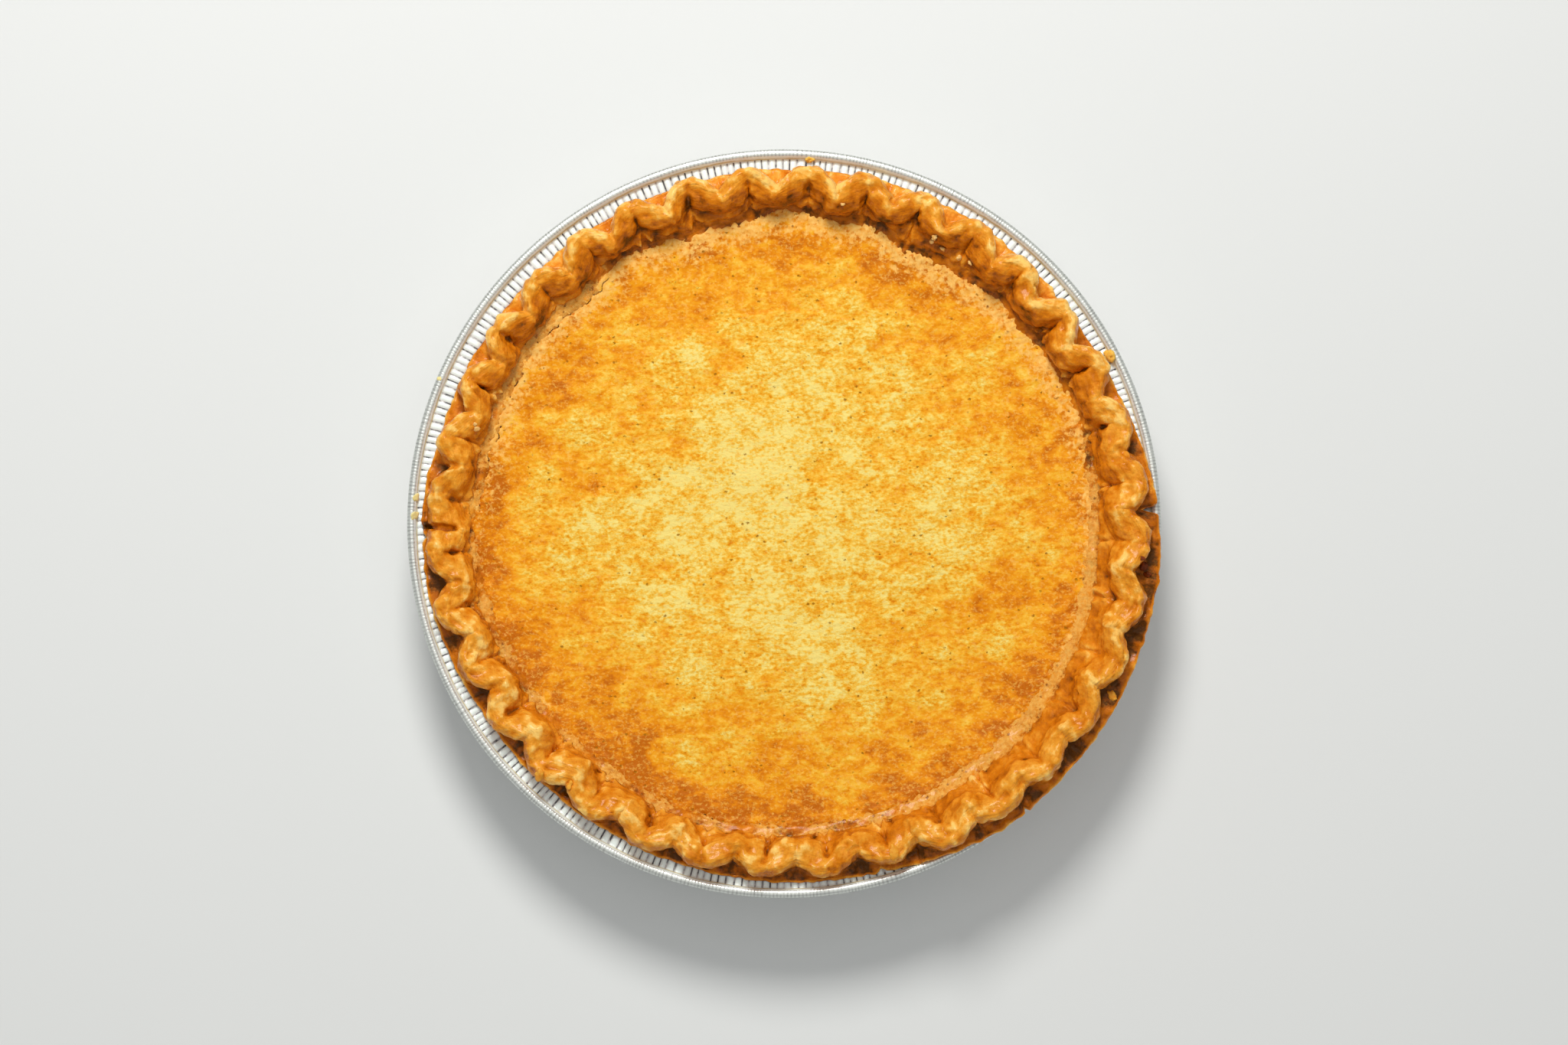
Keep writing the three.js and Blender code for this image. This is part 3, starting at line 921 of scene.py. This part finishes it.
def makeFilling():
    bm = bmesh.new()
    layers = [bm.verts.layers.float.new(name) for name in ("toast", "sandy", "crack", "rift")]
    segments = filling["segments"]
    bmesh.ops.create_grid(bm, x_segments=segments, y_segments=segments, size=1)
    for vert in bm.verts:
        reach, degrees = discPlace(vert.co.x, vert.co.y)
        x, y, z, *values = fillingTop(reach ** filling["crowding"], degrees)
        vert.co = (x, y, z)
        for layer, value in zip(layers, values):
            vert[layer] = value

    # the side and the underside, inside the pastry
    rim = [edge for edge in bm.edges if edge.is_boundary]
    bottom = pan["sheet"] + 2 * filling["gap"] + crust["floorThickness"]
    floorRadius = crust["floorRadius"] - 2 * filling["gap"]
    for radius, height in ((None, filling["sideHeight"]), (floorRadius, bottom)):
        made = bmesh.ops.extrude_edge_only(bm, edges=rim)["geom"]
        for vert in (item for item in made if isinstance(item, bmesh.types.BMVert)):
            reach = math.hypot(vert.co.x, vert.co.y)
            share = (radius or reach) / reach
            vert.co = (vert.co.x * share, vert.co.y * share, height)
        rim = [item for item in made if isinstance(item, bmesh.types.BMEdge) and item.is_boundary]
    bmesh.ops.holes_fill(bm, edges=rim, sides=0)
    bmesh.ops.recalc_face_normals(bm, faces=bm.faces)
    return placed(bm, "setFilling", "chess_filling", fillingMaterial())


# what lies loose on the pastry and the rim: angle, radius, size, stretch and turn of each bit
looseBits = {
    "paleCrumbs": (
        (54.3, 98.6, 0.9, 0.6, 90), (56.5, 98.0, 1.0, 0.8, 70), (59.8, 97.9, 0.9, 0.7, 90),
        (62.0, 99.2, 0.8, 1.6, 80), (62.2, 98.2, 0.9, 0.8, 0), (79.5, 99.3, 0.8, 0.6, 90),
        (163.5, 98.4, 1.0, 0.9, 40), (162.9, 99.2, 0.6, 0.8, 0),
    ),
    "doughFlakes": (
        (288.0, 108.0, 2.6, 0.6, 0), (231.5, 104.8, 1.6, 0.6, 10), (226.6, 108.2, 2.2, 0.7, 30),
        (331.6, 114.2, 1.2, 1.6, 60),
    ),
    "rimDough": ((27.0, 113.4, 1.9, 1.2, 60), (86.0, 113.2, 1.3, 1.1, 0)),
    "butterSpots": ((176.4, 113.6, 1.3, 0.8, 80), (179.2, 113.7, 1.5, 0.8, 70), (157.5, 115.1, 0.8, 0.7, 0)),
    "burntBits": ((352.6, 111.4, 1.5, 0.8, 70), (351.4, 112.8, 1.2, 0.8, 10), (353.4, 110.2, 0.9, 0.8, 0)),
}
# light and deep colour, roughness and flatness of each kind
bitFinish = {
    "paleCrumbs": (tone(250, 214, 140), tone(232, 168, 78), 0.6, 0.55),
    "doughFlakes": (tone(244, 180, 62), tone(224, 132, 18), 0.45, 0.35),
    "rimDough": (tone(252, 208, 96), tone(236, 176, 60), 0.5, 0.6),
    "butterSpots": (tone(250, 236, 168), tone(240, 222, 140), 0.3, 0.25),
    "burntBits": (tone(150, 66, 10), tone(84, 34, 6), 0.4, 0.5),
}


def bitMaterial(kind):
    look = Shading(kind + "Finish")
    light, deep, rough, _ = bitFinish[kind]
    patches = look.span(look.grain(900, 4, 0.65), 0.3, 0.7)
    normal = look.bump(look.grain(1400), 0.5, 0.0003)
    roughness = look.span(patches, 0, 1, rough, rough + 0.15)
    colour = look.blend(patches, light, deep)
    return look.give(Base_Color=colour, Roughness=roughness, Normal=normal, Specular_IOR_Level=0.2)


# small irregular lumps, set down on whatever is under them
def makeLooseBits(carriers):
    for kind, bits in looseBits.items():
        bm = bmesh.new()
        flat = bitFinish[kind][3]
        for index, (degrees, reach, size, stretch, turn) in enumerate(bits):
            made = bmesh.ops.create_icosphere(bm, subdivisions=3, radius=size)["verts"]
            bmesh.ops.scale(bm, verts=made, vec=(1, stretch, flat))
            for vert in made:
                x, y, z = vert.co
                swell = 1 + 0.5 * lump(x, y + 20 * index, z, 0.8 * size)
                swell += 0.25 * lump(x + 50, y, z, 0.35 * size)
                vert.co *= swell
            angle = math.radians(degrees)
            x, y = reach * math.cos(angle), reach * math.sin(angle)
            bmesh.ops.rotate(bm, verts=made, matrix=Matrix.Rotation(angle + math.radians(turn), 3, "Z"))
            hits = [piece.ray_cast(Vector((x * mm, y * mm, 0.1)), Vector((0, 0, -1))) for piece in carriers]
            landed = [(place, normal) for hit, place, normal, _ in hits if hit]
            ground, normal = max(landed, key=lambda at: at[0].z)
            lying = Vector((0, 0, 1)).rotation_difference(normal).to_matrix()
            bmesh.ops.rotate(bm, verts=made, matrix=lying)
            raised = normal * size * flat * 0.45  # so the lower part sinks in
            bmesh.ops.translate(bm, verts=made, vec=ground / mm + raised)
        placed(bm, kind, None, bitMaterial(kind))


view = {
    "tilt": 6.5,
    "distance": 1.7,
    "frameWidth": 0.4825,
    "aim": Vector((0.0, -0.0005, 0.034)),
}


lamps = {
    "windowLight": {"place": (-0.12, 0.77, 1.1), "size": 0.45, "power": 12.8, "colour": (1.0, 0.99, 0.975)},
    "topLight": {"place": (0.05, 0.1, 1.6), "size": 1.4, "power": 3.6, "colour": (1.0, 1.0, 1.0)},
}


def aimedLight(name, place, size, power, colour):
    data = bpy.data.lights.new(name, "AREA")
    data.shape = "DISK"
    data.size = size
    data.energy = power
    data.color = colour
    lamp = bpy.data.objects.new(name, data)
    lamp.location = place
    lamp.rotation_euler = (view["aim"] - Vector(place)).to_track_quat("-Z", "Y").to_euler()
    bpy.context.collection.objects.link(lamp)


def makeStage():
    bm = bmesh.new()
    bmesh.ops.create_grid(bm, x_segments=1, y_segments=1, size=3)
    mesh = bpy.data.meshes.new("floor")
    bm.to_mesh(mesh)
    bm.free()
    look = Shading("paleFloor")
    mesh.materials.append(look.give(Base_Color=tone(226, 227, 224), Roughness=0.55))
    floor = bpy.data.objects.new("floor", mesh)
    bpy.context.collection.objects.link(floor)

    # a dim room, lighter low down on the near side
    world = bpy.data.worlds.new("studio")
    bpy.context.scene.world = world
    world.use_nodes = True
    room = NodeMaker(world.node_tree, "Generated")
    _, toFar, toCeiling = room.parts(room.place)
    low = room.span(toCeiling, 0.1, 0.5, 1, 0)
    near = room.span(toFar, -0.6, 0.8, 1, 0)
    background = world.node_tree.nodes["Background"]
    room.join(room.span(room.math("MULTIPLY", low, near), 0, 1, 0.3, 1.1), background.inputs["Strength"])
    room.join((0.96, 0.98, 1.0, 1.0), background.inputs["Color"])
    for name, settings in lamps.items():
        aimedLight(name, **settings)

    data = bpy.data.cameras.new("overheadCamera")
    data.sensor_width = 36
    data.lens = data.sensor_width * view["distance"] / view["frameWidth"]
    tilt = math.radians(view["tilt"])
    camera = bpy.data.objects.new("overheadCamera", data)
    camera.location = view["aim"] + view["distance"] * Vector((0, -math.sin(tilt), math.cos(tilt)))
    camera.rotation_euler = (tilt, 0, 0)
    bpy.context.collection.objects.link(camera)
    bpy.context.scene.camera = camera
    bpy.context.scene.view_settings.view_transform = "Standard"


foilPan = makePan()
pastry = makeCrust()
custard = makeFilling()
makeLooseBits((foilPan, pastry, custard))
makeStage()
